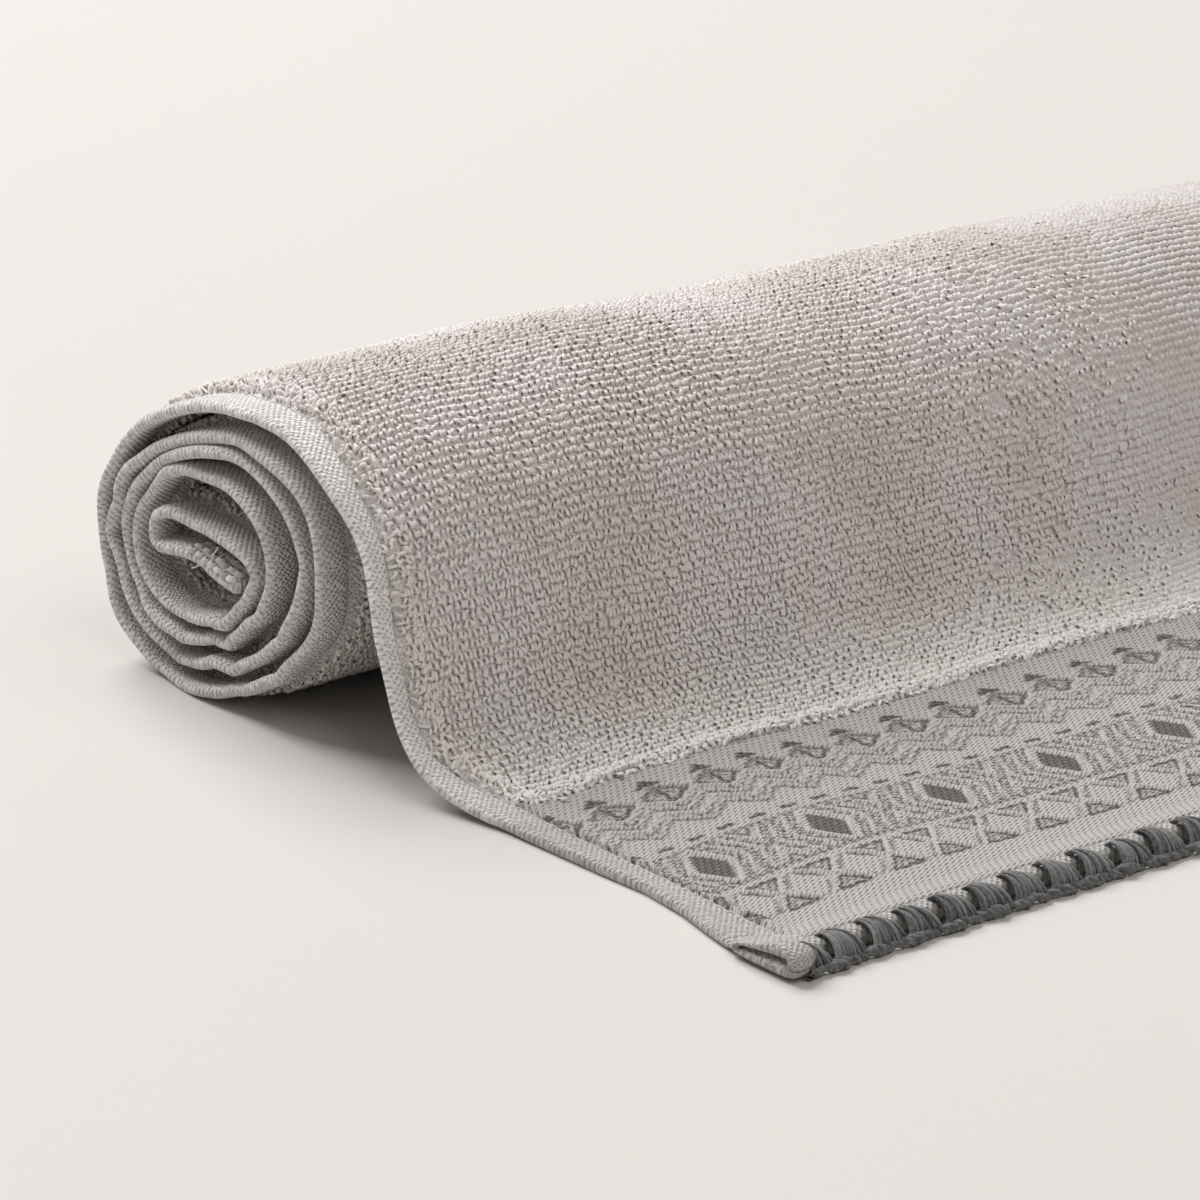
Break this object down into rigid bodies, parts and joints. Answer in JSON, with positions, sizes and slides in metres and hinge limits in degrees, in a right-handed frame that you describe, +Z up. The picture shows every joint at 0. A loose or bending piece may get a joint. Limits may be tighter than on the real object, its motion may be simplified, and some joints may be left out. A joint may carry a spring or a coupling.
{
  "type": "rolled hand towel",
  "caption": "Hand towel of looped terry, rolled up from one end with its flat figured border lying in front and a dark overcast edging along it.",
  "frame": {"origin": "middle of the bounding box's base, on the surface that the towel lies on", "axes": "+X along the roll away from its near end, +Z up, -Y towards the bordered end"},
  "size_m": [0.5, 0.2208, 0.0697],
  "materials": {
    "terry": "matte looped cotton, flat woven at the hems and border",
    "dark_cotton": "matte cotton thread"
  },
  "bodies": {
    "root": {"towel": "terry", "edge_stitch": "dark_cotton"}
  },
  "joints": []
}
